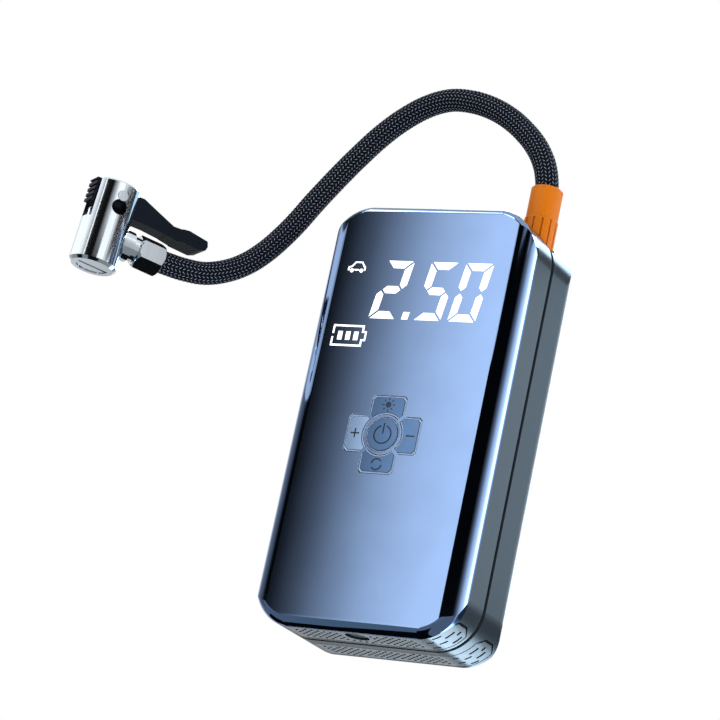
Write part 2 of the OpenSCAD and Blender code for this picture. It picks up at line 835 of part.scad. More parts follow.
module piston_seal() {
  color([0.1, 0.1, 0.1]) difference() {
    rod_x(my, rod_z, crown_x + 1.5, crown_x + 3.1, pump_r - 0.02);
    rod_x(my, rod_z, crown_x + 0.5, crown_x + 4.5, pump_r - 0.9);
  }
}

module pump_cylinder() {
  color([0.6, 0.61, 0.63]) difference() {
    rod_x(my, rod_z, wall_x, barrel_x, pump_r + 2);
    rod_x(my, rod_z, wall_x - 1, barrel_x + 1, pump_r);
    for (i = [0 : 3]) difference() {
      rod_x(my, rod_z, wall_x + 2 + i * 3, wall_x + 3.2 + i * 3, pump_r + 3);
      rod_x(my, rod_z, wall_x + 1 + i * 3, wall_x + 5 + i * 3, pump_r + 1.1);
    }
  }
}

module cylinder_head() {
  color([0.5, 0.51, 0.53]) difference() {
    union() {
      rod_x(my, rod_z, wall_x - head_t, wall_x, pump_r + 2);
      rod(wall_x - 2.2, my, rod_z + 6, head_z, 2.2);
    }
    rod_x(my, rod_z, wall_x - 3.3, wall_x + 1, 3.6);
    rod(wall_x - 2.2, my, rod_z, head_z + 1, 1.2);
  }
}

module outlet_valve() {
  color([0.12, 0.12, 0.13]) difference() {
    rod_x(my, rod_z, wall_x - 1.2, wall_x, 3.6);
    for (a = [0, 120, 240]) rod_x(my + 2.2 * cos(a), rod_z + 2.2 * sin(a), wall_x - 2,
      wall_x + 1, 0.7);
  }
}

// air line from the cylinder head to the hose socket, with square elbows and a branch
module air_tube() {
  zt = line_z;
  xl = wall_x - 2.2;
  bend = [[xl, my], [hx, 0], [0, my * hx / (hx - xl)]];
  color([0.85, 0.85, 0.87]) {
    rod(xl, my, head_z, zt, 2);
    translate([xl, my, zt]) rotate([0, 90, atan(-my / (hx - xl))])
      cylinder(h = sqrt((hx - xl) * (hx - xl) + my * my), r = 2);
    rod(hx, 0, zt, top - 18.7, 2);
    rod(bend[2][0], bend[2][1], zt - 3, zt, 2);
    for (p = bend) bx6(p[0] - 2.5, p[0] + 2.5, p[1] - 2.5, p[1] + 2.5, zt - 2.6, zt + 2.6);
  }
}

module pressure_sensor() {
  color([0.2, 0.2, 0.22]) {
    bx6(-4.5, 4.5, my * 0.5 - 4.5, my * 0.5 + 4.5, line_z - 11, line_z - 5);
    rod(0, my * hx / (hx - wall_x + 2.2), line_z - 5.3, line_z - 3, 2);
  }
}

// ---------- hose socket and collar ----------
module hose_socket() {
  color([0.72, 0.6, 0.35]) difference() {
    union() {
      rod(hx, 0, top - 16.2, pocket_z, 5);
      rod(hx, 0, top - 14.7, top - 11.7, 6.6);
      rod(hx, 0, pocket_z - 1, top + 0.3, nipple_r);
      rod(hx, 0, top - 18.7, top - 16, 2);
    }
    rod(hx, 0, top - 12, top + 1, 2);
    rod(hx, 0, top - 19, top - 11, 1.2);
  }
}

module collar_nut() {
  color([0.93, 0.42, 0.08]) difference() {
    translate([hx, 0, top]) rotate_extrude() polygon([[nipple_r + fit, -6.6], [collar_r - 0.3, -6.6],
      [collar_r, -6.3], [collar_r, 3.5], [collar_r - 0.3, 3.8], [collar_r - 0.3, 14.5],
      [collar_r - 0.8, 15], [4.9, 15], [4.7, 14.6], [4.7, 5.9], [3.4, 5.9], [3.4, 3.4],
      [nipple_r + fit, 3.4]]);
    for (a = [0 : 30 : 330]) translate([hx, 0, top - 7]) rotate(a)
      translate([collar_r - 0.45, -0.3, 0]) cube([1, 0.6, 10.2]);
  }
}

module hose_tail() {
  color([0.75, 0.75, 0.78]) difference() {
    union() {
      rod(hx, 0, top - 5, top + 1.5, 2 - fit);
      rod(hx, 0, top + 1.3, top + 3.3, nipple_r);
      rod(hx, 0, top + 3.2, top + 6.3, 3.4 - fit);
    }
    rod(hx, 0, top - 6, top + 7, 1.1);
  }
}

module tail_seal() {
  color([0.1, 0.1, 0.1]) difference() {
    rod(hx, 0, top + 0.6, top + 1.3, nipple_r - 0.2);
    rod(hx, 0, top, top + 2, 2 - fit);
  }
}

// points of the hose's run, from the collar over to the chuck, height taken from the top face
run = [[0, 0, 6.3], [0, 0, 11.3], [-0.7, 0, 17.3], [-2.9, 0, 23.8], [-6.7, 0, 29.8],
  [-12, 0, 35.3], [-18.5, 0, 40.3], [-26, 0, 44.3], [-34.5, 0, 46.9], [-43.5, 0, 47.5],
  [-52.3, 0, 44.9], [-60.5, -0.2, 39.7], [-67.5, -0.5, 33.3], [-74, -1, 25.5],
  [-78, -1.6, 19.9], [-81.7, -2.6, 13.9], [-85.8, -4, 6.6], [-89.5, -5.7, -1.1],
  [-92.9, -7.7, -7.7], [-96.5, -10.4, -14.2], [-100.5, -13.9, -20.1], [-104.8, -18.3, -24.7],
  [-109.7, -23.9, -28.1], [-114.7, -30.2, -29.3]];
nut_n = [0.5433, 0.8366, -0.0698];
end_p = [chuck_p[0] - hx, chuck_p[1], chuck_p[2] - top] + nut_n * nut_x1;
route = [for (i = [0 : len(run)]) i < len(run) ? run[i] : end_p];
sides = 12;

function unit(v) = v / norm(v);
function along(i) = i == 0 ? [0, 0, 1] : i == len(route) - 1 ? -nut_n :
  unit(route[i + 1] - route[i - 1]);
// a side direction carried along the run without twist
function carried(v, t) = unit(v - (v * t) * t);
function side_dir(i) = i == 0 ? [0, 1, 0] : carried(side_dir(i - 1), along(i));
function ring_pt(i, k, u, t) = route[i] + hose_d / 2 * (cos(k * 360 / sides) * u
  + sin(k * 360 / sides) * cross(t, u));

module hose() {
  n = len(route);
  pts = [for (i = [0 : n - 1]) let (t = along(i), u = side_dir(i))
    for (k = [0 : sides - 1]) ring_pt(i, k, u, t)];
  walls = [for (i = [0 : n - 2]) for (k = [0 : sides - 1]) let (a = i * sides + k,
    b = i * sides + (k + 1) % sides) each [[a, b + sides, b], [a, a + sides, b + sides]]];
  first = [for (k = [0 : sides - 1]) k];
  last = [for (k = [sides - 1 : -1 : 0]) (n - 1) * sides + k];
  color([0.06, 0.06, 0.08]) translate([hx, 0, top])
    polyhedron(points = pts, faces = concat(walls, [first, last]), convexity = 8);
}

// ---------- chuck ----------
// local frame of the chuck: x towards the hose, z out of the valve mouth
module at_chuck() {
  translate(chuck_p) rotate([0, 0, 57]) rotate([0, 4, 0]) children();
}

module hex_nut() {
  color([0.82, 0.83, 0.85]) at_chuck() difference() {
    intersection() {
      translate([nut_x0, 0, 0]) rotate([0, 90, 0])
        cylinder(h = nut_x1 - nut_x0, r = nut_af / sqrt(3), $fn = 6);
      translate([nut_x0, 0, 0]) rotate([0, 90, 0]) rotate_extrude() polygon([[0, 0],
        [nut_af / 2 - 0.1, 0], [nut_af / 2 + 1.2, 1.2], [nut_af / 2 + 1.2, 8.3],
        [nut_af / 2 - 0.1, 9.5], [0, 9.5]]);
    }
    rod_x(0, 0, nut_x0 - 1, nut_x1 - 2.5, 2.6);
  }
}

module chuck_neck() {
  color([0.82, 0.83, 0.85]) at_chuck() difference() {
    union() {
      rod_x(0, 0, 2, nut_x0, 3.2);
      rod_x(0, 0, 4, 10.5, 5.3);
      rod_x(0, 0, 4, nut_x0, 4.3);
      rod_x(0, 0, nut_x0 - 1, nut_x1 - 2.5, 2.6);
    }
    difference() {
      rod(0, 0, -12, 12, chuck_r);
      rod_x(0, 0, 2, 14, 3.2);
    }
    rod(0, 0, -12, 12, 4.6);
    rod_x(0, 0, 0, 30, 1.4);
  }
}

module chuck_body() {
  color([0.82, 0.83, 0.85]) at_chuck() difference() {
    rotate_extrude() polygon([[5.5, -11.9], [chuck_r - 1, -11.9], [chuck_r, -10.9],
      [chuck_r, 17.2], [chuck_r - 0.5, 17.8], [6.9, 17.8], [6.9, -9.5], [5.5, -9.5]]);
    rod_x(0, 0, 4, 10, 3.2);
    for (s = [-1, 1]) {
      rod_y(0, 8.7, s > 0 ? 4 : -10, s > 0 ? 10 : -4, 2.7);
      rod_y(0, pivot_z, s > 0 ? 4 : -10, s > 0 ? 10 : -4, 1.8 + fit);
    }
    bx6(-10, -4, -3.9, 3.9, 3.6, 19);
    bx6(4, 10, -lever_w - 0.3, lever_w + 0.3, 7.4, 19);
  }
}

module chuck_core() {
  color([0.72, 0.6, 0.35]) at_chuck() difference() {
    union() {
      rod(0, 0, -9.5, 6, 4.6);
      rod(0, 0, -9.5, -7, 6.9);
    }
    rod(0, 0, -5, 7, 2.6);
    rod(0, 0, -8, 7, 1.4);
    rod(0, 0, 4.5, 7, 4);
    rod_x(0, 0, 0, 10, 1.4);
  }
}

module valve_seal() {
  color([0.08, 0.08, 0.08]) at_chuck() difference() {
    rod(0, 0, 4.5, 6.4, 4);
    rod(0, 0, 3, 8, 1.9);
  }
}

module depressor_pin() {
  color([0.75, 0.75, 0.77]) at_chuck() {
    rod(0, 0, -5, -4, 2.6);
    rod(0, 0, -5, 6.8, 0.8);
  }
}

module end_plug() {
  color([0.82, 0.83, 0.85]) at_chuck() difference() {
    rod(0, 0, -11.6, -9.5, 5.5);
    bx6(-6, 6, -0.6, 0.6, -13, -10.8);
  }
}

module clip_lever() {
  color([0.07, 0.07, 0.08]) at_chuck() difference() {
    union() {
      intersection() {
        translate([0, 0, pivot_z]) sphere(r = 6.6);
        bx6(-10, 10, -10, 10, pivot_z - 3.6, pivot_z + 3.6);
      }
      slab_y(-lever_w, lever_w) polygon([[3, 9.8], [6, 8.3], [14, 8.6], [21, 8.3], [25.6, 8],
        [25.6, 12.4], [23, 12.2], [16, 14.6], [9.5, 16.9], [3, 16.4]]);
      slab_y(-lever_w - 1.3, lever_w + 1.3) polygon([[25.6, 8], [33.5, 7.9], [35.6, 8.8],
        [36, 10.2], [35.4, 12], [28, 12.8], [25.6, 12.4]]);
      translate([0, 0, 8.2]) linear_extrude(height = 4) polygon([[21, -lever_w],
        [25.6, -lever_w - 1.3], [25.6, lever_w + 1.3], [21, lever_w]]);
      bx6(-8.6, -4.6, -3.2, 3.2, 9.3, 17.4);
    }
    rod(0, 0, 5, 22, ring_bore);
    for (s = [-1, 1]) rod_y(0, pivot_z, s > 0 ? 4 : -8, s > 0 ? 8 : -4, 1.82);
    for (i = [0 : 3]) bx6(-9, -8, -4, 4, 10.4 + i * 1.9, 11.2 + i * 1.9);
  }
}

// two stub pins on which the lever turns in the shell
module lever_pins() {
  color([0.75, 0.75, 0.77]) at_chuck() {
    rod_y(0, pivot_z, -8.4, -4.6, 1.8);
    rod_y(0, pivot_z, 4.6, 8.4, 1.8);
  }
}

front_panel();
front_frame();
rear_housing();
display_segments();
display_icons();
light_box();
display_board();
main_board();
tact_switches();
lamp_button();
plus_button();
minus_button();
mode_button();
power_button();
charge_socket();
battery_cells();
battery_holder();
motor_can();
motor_endbell();
motor_shaft();
drive_pinion();
gear_plate();
gear_shaft();
crank_gear();
piston_rod();
piston_seal();
pump_cylinder();
cylinder_head();
outlet_valve();
air_tube();
pressure_sensor();
lamp_lens();
lamp_reflector();
lamp_board();
housing_screws();
hose_socket();
collar_nut();
hose_tail();
tail_seal();
hose();
hex_nut();
chuck_neck();
chuck_body();
chuck_core();
valve_seal();
depressor_pin();
end_plug();
clip_lever();
lever_pins();
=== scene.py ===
"""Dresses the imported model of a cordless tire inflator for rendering."""

import logging
import math
from dataclasses import dataclass, field
from enum import Enum
from typing import Optional, Sequence, Union

import bpy
from mathutils import Matrix, Vector


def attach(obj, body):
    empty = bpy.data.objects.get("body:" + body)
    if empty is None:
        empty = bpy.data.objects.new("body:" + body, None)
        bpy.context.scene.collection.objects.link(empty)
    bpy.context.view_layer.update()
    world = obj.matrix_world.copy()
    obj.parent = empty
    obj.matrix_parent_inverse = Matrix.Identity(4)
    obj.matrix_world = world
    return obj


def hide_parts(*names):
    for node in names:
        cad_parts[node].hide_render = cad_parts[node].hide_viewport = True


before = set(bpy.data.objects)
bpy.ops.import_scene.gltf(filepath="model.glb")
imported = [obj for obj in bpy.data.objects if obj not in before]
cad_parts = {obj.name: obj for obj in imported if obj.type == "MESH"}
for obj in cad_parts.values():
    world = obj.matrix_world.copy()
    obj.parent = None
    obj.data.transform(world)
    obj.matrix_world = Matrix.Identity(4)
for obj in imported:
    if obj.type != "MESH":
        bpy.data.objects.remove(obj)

Point = tuple[float, float, float]
Colour = tuple[float, float, float]
Face = tuple[int, ...]
Tree = bpy.types.NodeTree
Socket = bpy.types.NodeSocket

LOG = logging.getLogger("inflator")
NOISE_DETAIL = 3.0
NOISE_SPAN = (0.3, 0.7)
ROUGH_SPREAD = 0.1
MIX_FACTOR, MIX_BELOW, MIX_ABOVE, MIX_RESULT = 0, 6, 7, 2
LYING = (-90.0, 0.0, 0.0)
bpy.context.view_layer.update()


# ---------------------------------------------------------------- node helpers
def math_node(tree: Tree, kind: str, *inputs: Union[Socket, float]) -> Socket:
    """Adds one math node.

    Args:
        tree: node tree that it is added to.
        kind: its operation.
        inputs: for each input, a socket to link or a number to set.

    Returns:
        The result's socket.
    """
    node = tree.nodes.new("ShaderNodeMath")
    node.operation = kind
    for socket, item in zip(node.inputs, inputs):
        if isinstance(item, bpy.types.NodeSocket):
            tree.links.new(item, socket)
        else:
            socket.default_value = item
    return node.outputs["Value"]


def between(tree: Tree, value: Socket, low: float, high: float) -> Socket:
    """Adds a mask that is 1 where a value lies between two limits.

    Args:
        tree: node tree.
        value: the value to test.
        low: lower limit.
        high: upper limit.

    Returns:
        The mask's socket.
    """
    above = math_node(tree, "GREATER_THAN", value, low)
    return math_node(tree, "MULTIPLY", above, math_node(tree, "LESS_THAN", value, high))


def map_range(
    tree: Tree,
    value: Socket,
    source: tuple[float, float] = (0.0, 1.0),
    target: tuple[float, float] = (0.0, 1.0),
) -> Socket:
    """Maps a value from one span to another.

    Args:
        tree: node tree.
        value: the value to map.
        source: the span that it comes from.
        target: the span that it goes to.

    Returns:
        The mapped value's socket.
    """
    node = tree.nodes.new("ShaderNodeMapRange")
    for key, number in zip(("From Min", "From Max", "To Min", "To Max"), (*source, *target)):
        node.inputs[key].default_value = number
    tree.links.new(value, node.inputs["Value"])
    return node.outputs["Result"]


def ramp_node(tree: Tree, value: Socket, stops: Sequence[tuple[float, Colour]]) -> Socket:
    """Turns a value into a colour.

    Args:
        tree: node tree.
        value: a value between 0 and 1.
        stops: place and colour of each stop.

    Returns:
        The colour's socket.
    """
    node = tree.nodes.new("ShaderNodeValToRGB")
    steps = node.color_ramp.elements
    for step, (place, colour) in zip(steps, (stops[0], stops[-1])):
        step.position, step.color = place, (*colour, 1.0)
    for place, colour in stops[1:-1]:
        steps.new(place).color = (*colour, 1.0)
    tree.links.new(value, node.inputs["Fac"])
    return node.outputs["Color"]


def lay_over(tree: Tree, below: Socket, colour: Colour, mask: Socket) -> Socket:
    """Lays a colour over another one.

    Args:
        tree: node tree.
        below: the colour below.
        colour: the colour laid on top.
        mask: 1 where it is laid on.

    Returns:
        The mixed colour's socket.
    """
    node = tree.nodes.new("ShaderNodeMix")
    node.data_type = "RGBA"
    tree.links.new(mask, node.inputs[MIX_FACTOR])
    tree.links.new(below, node.inputs[MIX_BELOW])
    node.inputs[MIX_ABOVE].default_value = (*colour, 1.0)
    return node.outputs[MIX_RESULT]


def object_axes(tree: Tree) -> dict[str, Socket]:
    """Gives the surface point's place in the object's own axes.

    Args:
        tree: node tree.

    Returns:
        The sockets of X, Y and Z.
    """
    place = tree.nodes.new("ShaderNodeTexCoord")
    split = tree.nodes.new("ShaderNodeSeparateXYZ")
    tree.links.new(place.outputs["Object"], split.inputs["Vector"])
    return {axis: split.outputs[axis] for axis in ("X", "Y", "Z")}


# ---------------------------------------------------------------- finishes
class Surface(Enum):
    """How a finish's variation is stretched along X, Y and Z."""

    GRAIN = (1.0, 1.0, 1.0)
    BRUSHED = (1.0, 1.0, 0.06)


@dataclass(frozen=True)
class Finish:
    """A procedural finish.

    Args:
        name: material name.
        colour: main colour, linear.
        rough: roughness in the middle of its range.
        metal: 1 for bare metal.
        surface: the kind of variation.
        scale: size of the variation, in cycles per metre.
        spread: how far the colour moves either way, as a share.
        bump: height of the relief in metres.
        specular: strength of the reflection on a non-metal.
        coat: strength of a clear coat.
        glow: strength of the light that it gives.
        crown: painted highlight colour of a yarn where it lies on top, if any.
        crown_span: the crown values where that painted highlight starts and is full.
    """

    name: str
    colour: Colour
    rough: float = 0.4
    metal: float = 0.0
    surface: Surface = Surface.GRAIN
    scale: float = 1400.0
    spread: float = 0.12
    bump: float = 0.00001
    specular: float = 0.5
    coat: float = 0.0
    glow: float = 0.0
    crown: Optional[Colour] = None
    crown_span: tuple[float, float] = (0.58, 0.96)

    def make(self) -> bpy.types.Material:
        """Builds the node material, or returns the one already built.

        Returns:
            The Blender material.
        """
        found = bpy.data.materials.get(self.name)
        if found is not None:
            return found
        material = bpy.data.materials.new(self.name)
        material.use_nodes = True
        tree = material.node_tree
        shader = next(n for n in tree.nodes if n.type == "BSDF_PRINCIPLED")
        self._set_sockets(shader)
        noise = self._noise(tree)
        self._colour(tree, noise, shader)
        least, most = self.rough * (1 - ROUGH_SPREAD), self.rough * (1 + ROUGH_SPREAD)
        rough = map_range(tree, noise, target=(least, min(1.0, most)))
        tree.links.new(rough, shader.inputs["Roughness"])
        if self.bump > 0:
            self._relief(tree, noise, shader)
        if self.crown is not None:
            self._crown(tree, shader)
        material.diffuse_color = (*self.colour, 1.0)
        return material

    def _set_sockets(self, shader: bpy.types.Node) -> None:
        """Sets the values that are the same all over.

        Args:
            shader: the material's shader.
        """
        values = {
            "Metallic": self.metal,
            "IOR": 1.5,
            "Specular IOR Level": self.specular,
            "Coat Weight": self.coat,
            "Coat Roughness": 0.05,
            "Emission Strength": self.glow,
            "Emission Color": (*self.colour, 1.0),
        }
        for key, value in values.items():
            shader.inputs[key].default_value = value

    def _noise(self, tree: Tree) -> Socket:
        """Adds the variation.

        Args:
            tree: the material's node tree.

        Returns:
            Its value, between 0 and 1.
        """
        place = tree.nodes.new("ShaderNodeTexCoord")
        stretch = tree.nodes.new("ShaderNodeMapping")
        stretch.inputs["Scale"].default_value = self.surface.value
        tree.links.new(place.outputs["Object"], stretch.inputs["Vector"])
        noise = tree.nodes.new("ShaderNodeTexNoise")
        noise.inputs["Scale"].default_value = self.scale
        noise.inputs["Detail"].default_value = NOISE_DETAIL
        tree.links.new(stretch.outputs["Vector"], noise.inputs["Vector"])
        return noise.outputs["Fac"]

    def _colour(self, tree: Tree, noise: Socket, shader: bpy.types.Node) -> None:
        """Lets the variation move the colour a little either way.

        Args:
            tree: the material's node tree.
            noise: the variation.
            shader: the material's shader.
        """
        low = tuple(c * (1.0 - self.spread) for c in self.colour)
        high = tuple(min(1.0, c * (1.0 + self.spread)) for c in self.colour)
        mixed = ramp_node(tree, noise, tuple(zip(NOISE_SPAN, (low, high))))
        tree.links.new(mixed, shader.inputs["Base Color"])

    def _crown(self, tree: Tree, shader: bpy.types.Node) -> None:
        """Lays a painted highlight on the yarn by the mesh's own crown value, 1 on top and 0
        below.

        Args:
            tree: the material's node tree.
            shader: the material's shader.
        """
        plain = shader.inputs["Base Color"].links[0].from_socket
        held = tree.nodes.new("ShaderNodeAttribute")
        held.attribute_name = "crown"
        mask = map_range(tree, held.outputs["Fac"], source=self.crown_span)
        mixed = lay_over(tree, plain, self.crown, mask)
        tree.links.new(mixed, shader.inputs["Base Color"])

    def _relief(self, tree: Tree, noise: Socket, shader: bpy.types.Node) -> None:
        """Turns the variation into a fine relief.

        Args:
            tree: the material's node tree.
            noise: the variation.
            shader: the material's shader.
        """
        bump = tree.nodes.new("ShaderNodeBump")
        bump.inputs["Strength"].default_value = 1.0
        bump.inputs["Distance"].default_value = self.bump
        tree.links.new(noise, bump.inputs["Height"])
        tree.links.new(bump.outputs["Normal"], shader.inputs["Normal"])


@dataclass(frozen=True)
class HousingFinish(Finish):
    """Satin moulded plastic with painted shade in the base's recesses and painted sheen between.

    Args:
        land_sheen: painted sheen, a light colour on the raised strips between the recesses.
        recess_shade: painted shade, a dark colour at the bottom of the recesses.
        half_flat: half width of the flat base.
        corner: radius of the lower corners.
        bands: the two bands' limits along Y.
        least: depth from which a point counts as sunk.
        round_extra: what is added to it on the lower corners.
        most: depth down to which a point counts as sunk.
        base_top: height up to which a point belongs to the base.
        land_sheen_fade: run on the corner over which the painted sheen fades out.
    """

    land_sheen: Colour = (0.15, 0.18, 0.205)
    recess_shade: Colour = (0.012, 0.016, 0.02)
    half_flat: float = 0.0229
    corner: float = 0.0148
    bands: tuple[tuple[float, float], ...] = ((-0.0166, -0.0034), (0.0039, 0.0168))
    least: float = 0.00004
    round_extra: float = 0.00009
    most: float = 0.0009
    base_top: float = 0.002
    land_sheen_fade: float = 0.004

    def _colour(self, tree: Tree, noise: Socket, shader: bpy.types.Node) -> None:
        """Mixes body colour, painted sheen and painted shade by depth below the surface.

        Args:
            tree: the material's node tree.
            noise: the variation.
            shader: the material's shader.
        """
        super()._colour(tree, noise, shader)
        axes = object_axes(tree)
        away = math_node(tree, "SUBTRACT", math_node(tree, "ABSOLUTE", axes["X"]), self.half_flat)
        side = math_node(tree, "MAXIMUM", away, 0.0)
        sunk = self._sunk(tree, side, axes["Z"])
        zone = None
        for low, high in self.bands:
            inside = between(tree, axes["Y"], low, high)
            zone = inside if zone is None else math_node(tree, "MAXIMUM", zone, inside)
        flat = map_range(tree, side, (0.0, self.land_sheen_fade), (1.0, 0.0))
        base = math_node(tree, "LESS_THAN", axes["Z"], self.base_top)
        # painted sheen: a light colour on the raised strips of the base, fading out on the
        # corners
        land_sheen_mask = math_node(tree, "MULTIPLY", zone, math_node(tree, "MULTIPLY", base, flat))
        # painted shade: a dark colour at the bottom of the recesses
        recess_shade_mask = math_node(tree, "MULTIPLY", zone, sunk)
        current = shader.inputs["Base Color"].links[0].from_socket
        for mask, colour in ((land_sheen_mask, self.land_sheen), (recess_shade_mask, self.recess_shade)):
            current = lay_over(tree, current, colour, mask)
        tree.links.new(current, shader.inputs["Base Color"])
        # the painted shade also takes the reflection out of the recesses
        dull = math_node(tree, "SUBTRACT", 1.0, recess_shade_mask)
        level = math_node(tree, "MULTIPLY", dull, self.specular)
        tree.links.new(level, shader.inputs["Specular IOR Level"])

    def _sunk(self, tree: Tree, side: Socket, height: Socket) -> Socket:
        """Masks the points that lie a little below the base or its rounded corners.

        Args:
            tree: the material's node tree.
            side: distance past the flat base, 0 over it.
            height: the point's height.

        Returns:
            The mask's socket.
        """
        rise = math_node(tree, "SUBTRACT", self.corner, height)
        squares = [math_node(tree, "MULTIPLY", leg, leg) for leg in (side, rise)]
        reach = math_node(tree, "SQRT", math_node(tree, "ADD", *squares))
        depth = math_node(tree, "SUBTRACT", self.corner, reach)
        on_round = math_node(tree, "GREATER_THAN", side, 0.0)
        extra = math_node(tree, "MULTIPLY", on_round, self.round_extra)
        slack = math_node(tree, "ADD", extra, self.least)
        deep = math_node(tree, "GREATER_THAN", depth, slack)
        shallow = math_node(tree, "LESS_THAN", depth, self.most)
        low = math_node(tree, "GREATER_THAN", rise, 0.0)
        return math_node(tree, "MULTIPLY", math_node(tree, "MULTIPLY", deep, shallow), low)


@dataclass(frozen=True)
class GlossFinish(Finish):
    """Mirror gloss with plain zones told apart by depth below the face; the light ones are
    painted highlights.

    Args:
        face: where the front face lies along Y.
        zones: least and greatest depth and colour of each zone, later ones on top.
        middle: x and z of the square that the zones are kept to.
        reach: half the square's side.
    """

    face: float = -0.0194
    zones: tuple[tuple[float, float, Colour], ...] = ()
    middle: tuple[float, float] = (-0.002, 0.0658)
    reach: float = 0.0145

    def _colour(self, tree: Tree, noise: Socket, shader: bpy.types.Node) -> None:
        """Lays the zones over the main colour and takes the metal out of them.

        Args:
            tree: the material's node tree.
            noise: the variation.
            shader: the material's shader.
        """
        super()._colour(tree, noise, shader)
        axes = object_axes(tree)
        square = math_node(tree, "MULTIPLY", *(
            between(tree, axes[axis], mid - self.reach, mid + self.reach)
            for axis, mid in zip(("X", "Z"), self.middle)
        ))
        current = shader.inputs["Base Color"].links[0].from_socket
        covered = None
        for low, high, colour in self.zones:
            layer = between(tree, axes["Y"], self.face + low, self.face + high)
            mask = math_node(tree, "MULTIPLY", layer, square)
            current = lay_over(tree, current, colour, mask)
            covered = mask if covered is None else math_node(tree, "MAXIMUM", covered, mask)
        tree.links.new(current, shader.inputs["Base Color"])
        if covered is not None:
            metal = math_node(tree, "SUBTRACT", self.metal, covered)
            tree.links.new(metal, shader.inputs["Metallic"])


# Its light blue zone, on the rims of the openings in the middle square, is a painted highlight.
PANEL = GlossFinish(
    "panel_gloss", (0.20, 0.298, 0.50), 0.05, metal=1.0, scale=60.0, spread=0.04, bump=0.0,
    zones=((0.00004, 0.0021, (0.50, 0.62, 0.82)),),
)
# Depth bands on the caps' stepped edges: a darker inner step, a thin dark line, and a light outer
# step that is a painted highlight.
CAP_ZONES = (
    (0.00005, 0.00017, (0.04, 0.07, 0.12)),
    (0.00023, 0.00040, (0.42, 0.54, 0.74)),
    (0.00018, 0.00022, (0.01, 0.016, 0.03)),
)
CAP = GlossFinish(
    "cap_gloss", (0.098, 0.182, 0.34), 0.06, metal=1.0, scale=200.0, spread=0.05, bump=0.0,
    zones=CAP_ZONES,
)
BRIGHT_CAP = GlossFinish(
    "bright_cap_gloss", (0.42, 0.62, 0.94), 0.06, metal=1.0, scale=200.0, spread=0.05,
    bump=0.0, zones=CAP_ZONES,
)
FRAME = HousingFinish(
    "frame_satin", (0.016, 0.023, 0.030), 0.23, scale=2600.0, bump=0.000005, specular=0.66
)
REAR = HousingFinish(
    "rear_satin", (0.014, 0.021, 0.028), 0.23, scale=2600.0, bump=0.000005, specular=0.52
)
LIT = Finish("lit_segment", (1.0, 1.0, 1.0), 0.5, spread=0.0, bump=0.0, glow=0.9)
ORANGE = Finish(
    "collar_orange", (0.62, 0.16, 0.005), 0.42, scale=1800.0, spread=0.06, bump=0.000006,
    specular=0.10,
)
CHROME = Finish(
    "chuck_chrome", (0.66, 0.72, 0.78), 0.11, metal=1.0, surface=Surface.BRUSHED, scale=900.0,
    spread=0.06, bump=0.000002,
)
LEVER = Finish("lever_black", (0.006, 0.009, 0.014), 0.36, scale=2000.0, specular=0.03)
# The yarn's crown colour is a painted highlight for the sheen on top of each float.
YARN = Finish(
    "braid_yarn", (0.004, 0.005, 0.008), 0.55, scale=2600.0, spread=0.3, bump=0.00002,
    specular=0.04, crown=(0.32, 0.37, 0.50),
)
STEEL = Finish("plain_steel", (0.55, 0.56, 0.58), 0.3, metal=1.0, surface=Surface.BRUSHED)
BRASS = Finish("turned_brass", (0.66, 0.46, 0.18), 0.28, metal=1.0, surface=Surface.BRUSHED)
ALLOY = Finish("cast_alloy", (0.52, 0.53, 0.55), 0.5, metal=1.0, bump=0.00002)
RUBBER = Finish("seal_rubber", (0.012, 0.012, 0.012), 0.7, bump=0.00002)
DARK = Finish("dark_moulding", (0.02, 0.02, 0.022), 0.5)
WHITE = Finish("white_moulding", (0.72, 0.72, 0.70), 0.5)
BOARD = Finish("circuit_board", (0.015, 0.12, 0.05), 0.35, coat=0.3)
WRAP = Finish("cell_wrap", (0.03, 0.12, 0.35), 0.3, coat=0.2)
TUBE = Finish("clear_tube", (0.55, 0.57, 0.58), 0.35)
LENS = Finish("lamp_lens", (0.80, 0.84, 0.90), 0.22, coat=0.6)
FLOOR = Finish("pale_floor", (0.86, 0.87, 0.88), 0.8, scale=6.0, spread=0.01, bump=0.0)

NODE_FINISH: dict[str, Finish] = {
    "front_panel": PANEL, "front_frame": FRAME, "rear_housing": REAR,
    "display_segments": LIT, "display_icons": LIT, "light_box": WHITE,
    "display_board": BOARD, "main_board": BOARD, "tact_switches": DARK,
    "lamp_button": CAP, "plus_button": BRIGHT_CAP, "minus_button": CAP, "mode_button": CAP,
    "power_button": CAP, "charge_socket": DARK, "battery_cells": WRAP,
    "battery_holder": DARK, "motor_can": STEEL, "motor_endbell": DARK,
    "motor_shaft": STEEL, "drive_pinion": BRASS, "gear_plate": ALLOY,
    "gear_shaft": STEEL, "crank_gear": WHITE, "piston_rod": ALLOY,
    "piston_seal": RUBBER, "pump_cylinder": ALLOY, "cylinder_head": ALLOY,
    "outlet_valve": RUBBER, "air_tube": TUBE, "pressure_sensor": DARK,
    "lamp_lens": LENS, "lamp_reflector": WHITE, "lamp_board": BOARD,
    "housing_screws": STEEL, "hose_socket": BRASS, "collar_nut": ORANGE,
    "hose_tail": STEEL, "tail_seal": RUBBER, "hex_nut": CHROME, "chuck_neck": CHROME,
    "chuck_body": CHROME, "chuck_core": BRASS, "valve_seal": RUBBER,
    "depressor_pin": STEEL, "end_plug": CHROME, "clip_lever": LEVER, "lever_pins": CHROME,
}


